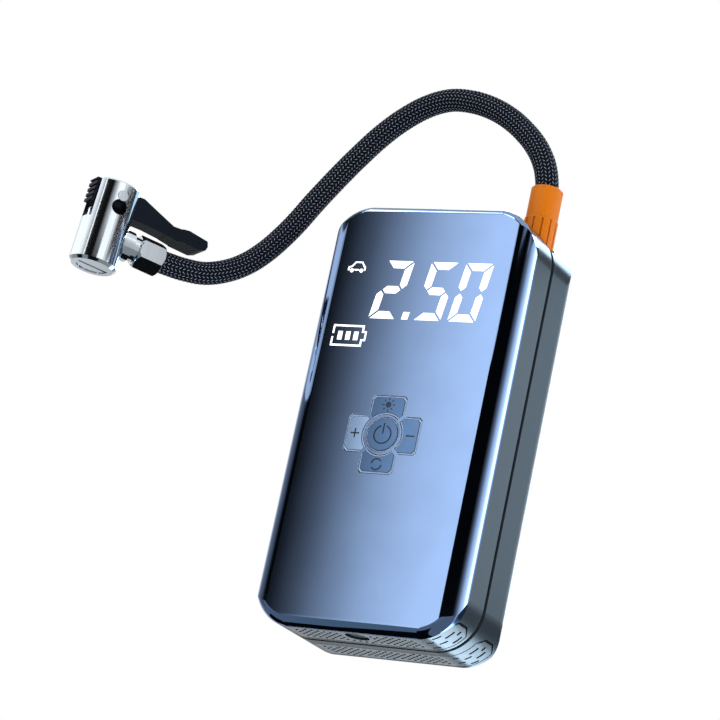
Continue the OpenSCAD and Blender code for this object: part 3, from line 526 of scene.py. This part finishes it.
# ---------------------------------------------------------------- shared mesh work
def add_mesh(
    name: str,
    points: Sequence[Sequence[float]],
    faces: Sequence[Face],
    materials: Sequence[bpy.types.Material],
    face_material: Optional[Sequence[int]] = None,
) -> bpy.types.Object:
    """Makes a smooth-shaded mesh object from points and faces.

    Args:
        name: object name.
        points: vertex places in metres.
        faces: vertex indices of each face.
        materials: the object's materials.
        face_material: which material each face takes, if not the first.

    Returns:
        The new object, linked to the scene.
    """
    mesh = bpy.data.meshes.new(name)
    mesh.from_pydata([tuple(p) for p in points], [], [tuple(f) for f in faces])
    for material in materials:
        mesh.materials.append(material)
    mesh.polygons.foreach_set("use_smooth", [True] * len(mesh.polygons))
    if face_material is not None:
        mesh.polygons.foreach_set("material_index", list(face_material))
    mesh.update()
    obj = bpy.data.objects.new(name, mesh)
    bpy.context.scene.collection.objects.link(obj)
    return obj


def spline_points(route: Sequence[Point], step: float) -> list[Vector]:
    """Resamples a smooth curve through the route at even steps.

    Args:
        route: the points that the curve passes.
        step: wanted distance between samples.

    Returns:
        Even samples from the first point to the last.
    """
    per_span = 24
    nodes = [Vector(p) for p in route]
    ends = [2 * nodes[0] - nodes[1], *nodes, 2 * nodes[-1] - nodes[-2]]
    fine: list[Vector] = []
    for i in range(1, len(ends) - 2):
        a, b, c, d = ends[i - 1 : i + 3]
        for k in range(per_span):
            t = k / per_span
            fine.append(
                0.5
                * (
                    2 * b
                    + (c - a) * t
                    + (2 * a - 5 * b + 4 * c - d) * t * t
                    + (3 * b - 3 * c + d - a) * t * t * t
                )
            )
    fine.append(nodes[-1])
    run = [0.0]
    for p, q in zip(fine, fine[1:]):
        run.append(run[-1] + (q - p).length)
    count = max(2, round(run[-1] / step))
    out, j = [], 0
    for i in range(count + 1):
        s = run[-1] * i / count
        while j < len(run) - 2 and run[j + 1] < s:
            j += 1
        share = (s - run[j]) / max(1e-9, run[j + 1] - run[j])
        out.append(fine[j].lerp(fine[j + 1], min(1.0, share)))
    return out


def carried_frames(points: Sequence[Vector]) -> list[tuple[Vector, Vector]]:
    """Carries two side directions along a curve without twist.

    Args:
        points: samples along the curve.

    Returns:
        Two unit side directions for each sample.
    """
    frames: list[tuple[Vector, Vector]] = []
    side = Vector((0, 1, 0))
    for i in range(len(points)):
        a, b = points[max(0, i - 1)], points[min(len(points) - 1, i + 1)]
        along = (b - a).normalized()
        side = (side - along * side.dot(along)).normalized()
        frames.append((side.copy(), along.cross(side)))
    return frames


# ---------------------------------------------------------------- studio
class Along(Enum):
    """What a card's light varies with."""

    WIDTH = "X"
    HEIGHT = "Z"
    ANGLE = "angle about Z from -Y"


def glow_material(
    name: str, stops: Sequence[tuple[float, Colour]], along: Along, half: float
) -> bpy.types.Material:
    """Makes an even or fading light for a card.

    Args:
        name: material name.
        stops: place between 0 and 1 and light of each stop.
        along: what the light varies with.
        half: half the span that the stops cover, in metres or radians.

    Returns:
        The material.
    """
    material = bpy.data.materials.new(name)
    material.use_nodes = True
    tree = material.node_tree
    tree.nodes.clear()
    axes = object_axes(tree)
    if along is Along.ANGLE:
        ahead = math_node(tree, "MULTIPLY", axes["Y"], -1.0)
        value = math_node(tree, "ARCTAN2", axes["X"], ahead)
    else:
        value = axes[along.value]
    light = ramp_node(tree, map_range(tree, value, (-half, half)), stops)
    glow = tree.nodes.new("ShaderNodeEmission")
    out = tree.nodes.new("ShaderNodeOutputMaterial")
    tree.links.new(light, glow.inputs["Color"])
    tree.links.new(glow.outputs[0], out.inputs["Surface"])
    return material


def stage_card(
    name: str,
    points: Sequence[Point],
    faces: Sequence[Face],
    light: bpy.types.Material,
    place: Point,
    turn: Point = (0.0, 0.0, 0.0),
) -> None:
    """Adds a card that only gloss shows.

    Args:
        name: object name.
        points: its corners, in its own axes.
        faces: its faces.
        light: its material.
        place: where its own origin stands.
        turn: angles about X, Y and Z, degrees.
    """
    card = add_mesh(name, points, faces, [light])
    card.location = place
    card.rotation_euler = tuple(math.radians(a) for a in turn)
    card.visible_camera = False
    card.visible_diffuse = False
    card.visible_shadow = False
    card.visible_transmission = False
    card.visible_volume_scatter = False


@dataclass(frozen=True)
class Lamp:
    """A soft square lamp.

    Args:
        name: object name.
        place: its middle.
        power: its strength in watts.
        size: its side in metres.
        in_gloss: whether glossy surfaces show it.
        aim: the point that it faces.
    """

    name: str
    place: Point
    power: float
    size: float
    in_gloss: bool = True
    aim: Point = (0.0, 0.0, 0.08)

    def build(self) -> None:
        """Adds the lamp."""
        data = bpy.data.lights.new(self.name, "AREA")
        data.energy, data.size = self.power, self.size
        obj = bpy.data.objects.new(self.name, data)
        bpy.context.scene.collection.objects.link(obj)
        obj.location = self.place
        toward = Vector(self.aim) - Vector(self.place)
        obj.rotation_euler = toward.to_track_quat("-Z", "Y").to_euler()
        obj.visible_camera = False
        obj.visible_glossy = self.in_gloss


@dataclass(frozen=True)
class FlatCard:
    """A flat card; unturned, it stands facing along Y.

    Args:
        name: object name.
        place: where its own origin stands.
        wide: its limits across.
        tall: its limits upwards.
        turn: angles about X, Y and Z, degrees.
        stops: place and light of each stop, in metres on the card.
        along: what the light varies with.
    """

    name: str
    place: Point
    wide: tuple[float, float]
    tall: tuple[float, float]
    turn: Point
    stops: tuple[tuple[float, Colour], ...]
    along: Along = Along.WIDTH

    def build(self) -> None:
        """Adds the card; the stops reach equally far either side of its origin."""
        half = max(abs(v) for v in (self.wide if self.along is Along.WIDTH else self.tall))
        ramp = [((v + half) / (2 * half), light) for v, light in self.stops]
        (x0, x1), (z0, z1) = self.wide, self.tall
        corners = [(x0, 0, z0), (x1, 0, z0), (x1, 0, z1), (x0, 0, z1)]
        light = glow_material(self.name, ramp, self.along, half)
        stage_card(self.name, corners, [(0, 1, 2, 3)], light, self.place, self.turn)


def even_card(
    name: str, place: Point, size: tuple[float, float], turn: Point, light: Colour
) -> FlatCard:
    """Describes a card of one even light.

    Args:
        name: object name.
        place: its middle.
        size: width and height.
        turn: angles about X, Y and Z, degrees.
        light: the light that it shows.

    Returns:
        The card's description.
    """
    w, h = size[0] / 2, size[1] / 2
    return FlatCard(name, place, (-w, w), (-h, h), turn, ((-w, light), (w, light)))


@dataclass(frozen=True)
class ArcCard:
    """A curved upright card that fades with the angle about its middle.

    Args:
        name: object name.
        middle: the point that it bends round.
        radius: its radius.
        span: first and last angle from -Y, degrees.
        rise: lowest and highest z.
        stops: angle and light of each stop, the first and last at the full reach.
        reach: angle of the first and last stop.
        face_angle: angle of one face, about.
    """

    name: str
    middle: Point
    radius: float
    span: tuple[float, float]
    rise: tuple[float, float]
    stops: tuple[tuple[float, float], ...]
    reach: float = 150.0
    face_angle: float = 5.0

    def build(self) -> None:
        """Adds the card, in four faces or more."""
        start, turn = self.span[0], self.span[1] - self.span[0]
        steps = max(4, round(turn / self.face_angle))
        points: list[Point] = []
        for i in range(steps + 1):
            a = math.radians(start + turn * i / steps)
            x, y = self.radius * math.sin(a), -self.radius * math.cos(a)
            points += [(x, y, z - self.middle[2]) for z in self.rise]
        faces = [(2 * i, 2 * i + 2, 2 * i + 3, 2 * i + 1) for i in range(steps)]
        ramp = [((a + self.reach) / (2 * self.reach), (v, v, v)) for a, v in self.stops]
        light = glow_material(self.name, ramp, Along.ANGLE, math.radians(self.reach))
        stage_card(self.name, points, faces, light, self.middle)


Card = Union[FlatCard, ArcCard]


@dataclass
class Studio:
    """Camera, world, floor, lamps and the cards that the gloss reflects.

    Args:
        camera_at: the camera's place.
        right: the camera's right.
        up: the camera's up.
        back: the direction from the part to the camera.
        lens: focal length in millimetres.
        floor_z: height of the floor.
        floor_half: half the floor's side.
        soft_light: colour and strength of the world as a light.
        clear_light: colour and strength of the world to the eye and to gloss.
        lamps: the lamps.
        panel_fade: place across and light of each stop of the panel's card.
        back_bands: height and light of each stop of the card behind.
        back_tint: tint of the card behind.
        ring_fade: angle and light of each stop of the ring.
        chuck_fade: angle and light of each stop of the chuck's cards.
        chuck_at: the point that the chuck's cards bend round.
    """

    camera_at: Point = (0.46094, -0.84179, -0.18842)
    right: Point = (0.87534, 0.43882, 0.20301)
    up: Point = (-0.04480, -0.34445, 0.93773)
    back: Point = (0.48143, -0.82993, -0.28186)
    lens: float = 150.56
    floor_z: float = -0.34
    floor_half: float = 3.0
    soft_light: tuple[Colour, float] = ((0.92, 0.95, 1.0), 0.55)
    clear_light: tuple[Colour, float] = ((1.0, 1.0, 1.0), 1.0)
    lamps: tuple[Lamp, ...] = (
        Lamp("key", (-0.55, -0.75, 0.85), 7.0, 0.6),
        Lamp("right_side", (0.95, -0.15, 0.25), 5.0, 0.5, in_gloss=False),
        Lamp("under", (0.15, -0.35, -0.30), 1.0, 0.4, in_gloss=False),
        Lamp("rear", (-0.2, 0.9, 0.5), 5.0, 0.6),
    )
    panel_fade: tuple[tuple[float, float], ...] = (
        (-0.044, 0.012), (-0.041, 0.05), (-0.031, 0.21), (-0.021, 0.48), (-0.010, 0.82),
        (0.0, 1.14), (0.010, 1.38), (0.020, 1.60), (0.031, 1.80), (0.041, 1.96), (0.052, 2.05),
    )
    back_bands: tuple[tuple[float, float], ...] = (
        (-0.33, 6.5), (-0.215, 6.5), (-0.165, 0.4), (-0.10, 0.06), (0.06, 0.06), (0.13, 1.0),
        (0.31, 1.0), (0.345, 0.2), (0.385, 0.2), (0.42, 6.5), (0.62, 6.5),
    )
    back_tint: Colour = (0.72, 0.98, 1.22)
    ring_fade: tuple[tuple[float, float], ...] = (
        (-150, 0.42), (-139, 0.42), (-127, 1.5), (-115, 0.9), (-103, 0.5), (-91, 0.36),
        (-67, 0.2), (-55, 0.04), (-48, 0.004), (48, 0.004), (57, 0.07), (66, 0.28),
        (75, 0.68), (84, 1.3), (92, 1.7), (104, 2.6), (114, 5.0), (138, 5.0), (150, 3.5),
    )
    chuck_fade: tuple[tuple[float, float], ...] = (
        (-150, 0.7), (-117, 0.8), (-95, 1.4), (-47, 1.38), (-36, 1.1), (-24, 0.62),
        (-12, 0.25), (20, 0.02), (34, 0.50), (42, 1.0), (50, 1.38), (72, 1.36), (80, 0.8),
        (88, 0.35), (95, 0.03), (150, 0.03),
    )
    chuck_at: Point = (-0.103, -0.056, 0.118)

    def camera(self) -> None:
        """Places the camera."""
        data = bpy.data.cameras.new("camera")
        data.sensor_width, data.lens = 36.0, self.lens
        data.clip_start, data.clip_end = 0.02, 20.0
        obj = bpy.data.objects.new("camera", data)
        bpy.context.scene.collection.objects.link(obj)
        columns = (self.right, self.up, self.back)
        turn = Matrix([[columns[c][r] for c in range(3)] for r in range(3)])
        obj.matrix_world = Matrix.Translation(self.camera_at) @ turn.to_4x4()
        bpy.context.scene.camera = obj

    def build(self) -> None:
        """Builds world, floor, lamps and cards."""
        bpy.context.scene.view_settings.view_transform = "Standard"
        self._world()
        self._floor()
        cards = (
            *self._front_cards(), self._back_card(), *self._chuck_cards(), *self._foot_cards()
        )
        for item in (*self.lamps, *cards):
            item.build()
            LOG.info("studio: %s", item.name)

    def _world(self) -> None:
        """Adds a world that is white to the eye and to gloss, and softer as a light."""
        world = bpy.data.worlds.new("studio")
        bpy.context.scene.world = world
        world.use_nodes = True
        tree = world.node_tree
        tree.nodes.clear()
        path = tree.nodes.new("ShaderNodeLightPath")
        seen = math_node(
            tree, "MAXIMUM", path.outputs["Is Camera Ray"], path.outputs["Is Glossy Ray"]
        )
        seen = math_node(tree, "MAXIMUM", seen, path.outputs["Is Transmission Ray"])
        mix = tree.nodes.new("ShaderNodeMixShader")
        out = tree.nodes.new("ShaderNodeOutputWorld")
        tree.links.new(seen, mix.inputs[0])
        for socket, (colour, strength) in enumerate((self.soft_light, self.clear_light), 1):
            light = tree.nodes.new("ShaderNodeBackground")
            light.inputs["Color"].default_value = (*colour, 1.0)
            light.inputs["Strength"].default_value = strength
            tree.links.new(light.outputs[0], mix.inputs[socket])
        tree.links.new(mix.outputs[0], out.inputs["Surface"])

    def _floor(self) -> None:
        """Adds the pale floor below the camera."""
        size, z = self.floor_half, self.floor_z
        corners = [(-size, -size, z), (size, -size, z), (size, size, z), (-size, size, z)]
        floor = add_mesh("floor", corners, [(0, 1, 2, 3)], [FLOOR.make()])

    def _front_cards(self) -> tuple[Card, ...]:
        """Describes the cards in front, which the panel and the lower edges reflect.

        Returns:
            The cards' descriptions.
        """
        half = self.panel_fade[-1][0]
        fade = tuple((u, (v, v, v)) for u, v in self.panel_fade)
        foot = self.floor_z + 0.01
        return (
            FlatCard("fade_card", (-0.2925, -0.5425, 0.0), (-half, half), (-0.06, 0.75),
                     (0.0, 0.0, -30.0), fade),
            ArcCard("ring_card", (0.0, 0.0, 0.0), 1.15, (-150, 150), (foot, 1.4),
                    self.ring_fade),
            even_card("low_card", (0.0, -0.425, self.floor_z + 0.004), (2.3, 1.55), LYING,
                      (0.28, 0.31, 0.33)),
            even_card("dark_card", (-0.30, -0.05, self.floor_z + 0.006), (0.70, 0.80), LYING,
                      (0.004, 0.005, 0.006)),
            ArcCard("ring_low_card", (0.0, 0.0, 0.0), 1.14, (-60, 60), (foot, 0.22),
                    ((-150, 0.36), (150, 0.36))),
        )

    def _back_card(self) -> FlatCard:
        """Describes the card behind, whose light and dark bands the sides reflect.

        Returns:
            The card's description.
        """
        low, high = self.floor_z + 0.01, self.back_bands[-1][0]
        middle = (low + high) / 2
        bands = tuple(
            (z - middle, tuple(v * t for t in self.back_tint)) for z, v in self.back_bands
        )
        return FlatCard("back_card", (0.0, 0.45, middle), (-0.10, 0.52),
                        (low - middle, high - middle), (0.0, 0.0, 0.0), bands, Along.HEIGHT)

    def _foot_cards(self) -> tuple[FlatCard, ...]:
        """Describes the two cards that the base's edges reflect.

        Returns:
            The cards' descriptions.
        """
        return (
            even_card("floor_card", (-0.62, 1.0, self.floor_z + 0.008), (0.9, 0.9), LYING,
                      (0.36, 0.44, 0.50)),
            even_card("foot_card", (-0.19, -0.25, -0.18), (0.34, 0.30), (0.0, 0.0, 90.0),
                      (0.25, 0.31, 0.34)),
        )

    def _chuck_cards(self) -> tuple[ArcCard, ...]:
        """Describes the small curved cards that the chuck reflects.

        Returns:
            The cards' descriptions.
        """
        near = (0.128, 0.20)
        places = (
            ("chuck_left_card", 0.11, (-130, -18), near),
            ("chuck_right_card", 0.11, (45, 76), near),
            ("chuck_rear_card", 0.25, (84, 140), (0.174, 0.215)),
            ("chuck_front_card", 0.6, (20, 46), (0.335, 0.40)),
        )
        return tuple(
            ArcCard(name, self.chuck_at, radius, span, rise, self.chuck_fade)
            for name, radius, span, rise in places
        )


# ---------------------------------------------------------------- hose
@dataclass
class TubeMesh:
    """The growing mesh of core and yarns.

    Args:
        points: its vertices.
        faces: its faces.
        which: which material each face takes.
        crown: the weight of the painted highlight at each vertex.
    """

    points: list[Vector] = field(default_factory=list)
    faces: list[Face] = field(default_factory=list)
    which: list[int] = field(default_factory=list)
    crown: list[float] = field(default_factory=list)


@dataclass
class BraidedHose:
    """The hose: a core under a braid of flat yarns, from collar to nut.

    Args:
        exit_at: where it leaves the collar.
        end_at: where it enters the nut.
        diameter: its outside diameter.
        carriers: yarns in each direction of winding.
        rows: rows of crossings round the hose.
        lay_length: run of one turn of a yarn.
        step: distance between samples.
        weave: how far a yarn rises and dips.
        hump: how far a yarn's middle stands over its edges.
        inset: how far the yarns' tops stay inside the diameter.
        core_inset: how far the core stays inside the diameter.
        fill: half width of a yarn, as a share of the yarns' spacing.
        sharp: how quickly a yarn rises and dips at a crossing.
        highlight_edge_fade: how far the painted highlight's weight falls off towards a yarn's
            edges.
        core_sides: sides of the core.
        core_step: samples between the core's rings.
        top: height of the housing's top, from which the route is measured.
        route_mm: the run in millimetres from the collar's axis and the housing's top.
        path: the samples along it.
    """

    exit_at: Point = (0.0295, 0.0, 0.152)
    end_at: Point = (-0.0907756, -0.0371765, 0.1164295)
    diameter: float = 0.0081
    carriers: int = 26
    rows: int = 20
    lay_length: float = 0.036
    step: float = 0.0005
    weave: float = 0.00014
    hump: float = 0.00008
    inset: float = 0.00006
    core_inset: float = 0.00042
    fill: float = 0.46
    sharp: float = 1.6
    highlight_edge_fade: float = 0.75
    core_sides: int = 24
    core_step: int = 3
    top: float = 0.1457
    route_mm: tuple[Point, ...] = (
        (0, 0, 6.3), (0, 0, 11.3), (-0.7, 0, 17.3), (-2.9, 0, 23.8), (-6.7, 0, 29.8),
        (-12, 0, 35.3), (-18.5, 0, 40.3), (-26, 0, 44.3), (-34.5, 0, 46.9), (-43.5, 0, 47.5),
        (-52.3, 0, 44.9), (-60.5, -0.2, 39.7), (-67.5, -0.5, 33.3), (-74, -1, 25.5),
        (-78, -1.6, 19.9), (-81.7, -2.6, 13.9), (-85.8, -4, 6.6), (-89.5, -5.7, -1.1),
        (-92.9, -7.7, -7.7), (-96.5, -10.4, -14.2), (-100.5, -13.9, -20.1),
        (-104.8, -18.3, -24.7), (-109.7, -23.9, -28.1), (-114.7, -30.2, -29.3),
    )
    path: list[Vector] = field(default_factory=list)

    def route(self) -> list[Point]:
        """Gives the points of the run.

        Returns:
            The points in metres, from collar to nut.
        """
        points = [
            (self.exit_at[0] + x / 1000, y / 1000, self.top + z / 1000)
            for x, y, z in self.route_mm
        ]
        return [*points, self.end_at]

    def build(self) -> bpy.types.Object:
        """Returns:
            The hose object.
        """
        self.path = spline_points(self.route(), self.step)
        frames = carried_frames(self.path)
        mesh = TubeMesh()
        self._core(mesh, frames)
        for hand in (1, -1):
            for k in range(self.carriers):
                self._yarn(mesh, frames, hand, k)
        materials = [DARK.make(), YARN.make()]
        hose = add_mesh("braided_hose", mesh.points, mesh.faces, materials, mesh.which)
        held = hose.data.attributes.new("crown", "FLOAT", "POINT")
        held.data.foreach_set("value", mesh.crown)
        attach(hose, "hose_line")
        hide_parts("hose")
        return hose

    def _core(self, mesh: TubeMesh, frames: Sequence[tuple[Vector, Vector]]) -> None:
        """Adds the dark tube under the braid, closed at both ends.

        Args:
            mesh: the mesh that grows.
            frames: side directions along the hose.
        """
        sides, radius = self.core_sides, self.diameter / 2 - self.core_inset
        last = len(self.path) - 1
        rings = [*range(0, last, self.core_step), last]
        for i in rings:
            u, v = frames[i]
            for k in range(sides):
                a = 2 * math.pi * k / sides
                mesh.points.append(self.path[i] + radius * (math.cos(a) * u + math.sin(a) * v))
        for r in range(len(rings) - 1):
            for k in range(sides):
                a, b = r * sides + k, r * sides + (k + 1) % sides
                mesh.faces.append((a, b, b + sides, a + sides))
        mesh.faces.append(tuple(reversed(range(sides))))
        mesh.faces.append(tuple((len(rings) - 1) * sides + k for k in range(sides)))
        mesh.which += [0] * len(mesh.faces)
        mesh.crown += [0.0] * len(mesh.points)

    def _yarn(
        self, mesh: TubeMesh, frames: Sequence[tuple[Vector, Vector]], hand: int, k: int
    ) -> None:
        """Adds one flat yarn; the yarns of one hand lie on top in every other row.

        Args:
            mesh: the mesh that grows.
            frames: side directions along the hose.
            hand: 1 or -1 for the two directions of winding.
            k: number of the yarn.
        """
        radius = self.diameter / 2 - self.inset - self.weave - self.hump
        half_angle = self.fill * 2 * math.pi / self.carriers
        first = len(mesh.points)
        across = (-1.0, 0.0, 1.0)
        n = len(across)
        for i, place in enumerate(self.path):
            turns = hand * i * self.step / self.lay_length + k / self.carriers
            angle = 2 * math.pi * turns
            wave = hand * math.cos(self.rows / 2 * angle)
            level = radius + self.weave * max(-1.0, min(1.0, self.sharp * wave))
            u, v = frames[i]
            for t in across:
                a = angle + t * half_angle
                r = level + self.hump * (1 - t * t)
                mesh.points.append(place + r * (math.cos(a) * u + math.sin(a) * v))
                # weight of the painted highlight: full where the yarn lies on top, less towards
                # its edges
                mesh.crown.append(max(0.0, wave) * (1 - self.highlight_edge_fade * t * t))
        for i in range(len(self.path) - 1):
            for j in range(n - 1):
                a = first + i * n + j
                mesh.faces.append((a, a + 1, a + n + 1, a + n))
                mesh.which.append(1)


# ---------------------------------------------------------------- CAD nodes
@dataclass
class Dresser:
    """Gives every CAD node its finish.

    Args:
        table: the finish of each node.
    """

    table: dict[str, Finish]

    def build(self) -> None:
        """Assigns the finishes, one per node."""
        for name, finish in self.table.items():
            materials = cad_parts[name].data.materials
            materials.clear()
            materials.append(finish.make())
            LOG.info("%s: %s", name, finish.name)


def main() -> None:
    """Builds camera, hose, finishes and studio in order."""
    logging.basicConfig(level=logging.INFO)
    studio = Studio()
    studio.camera()
    hose = BraidedHose()
    hose.build()
    LOG.info("hose: %d samples", len(hose.path))
    Dresser(NODE_FINISH).build()
    studio.build()


if __name__ == "__main__":
    main()
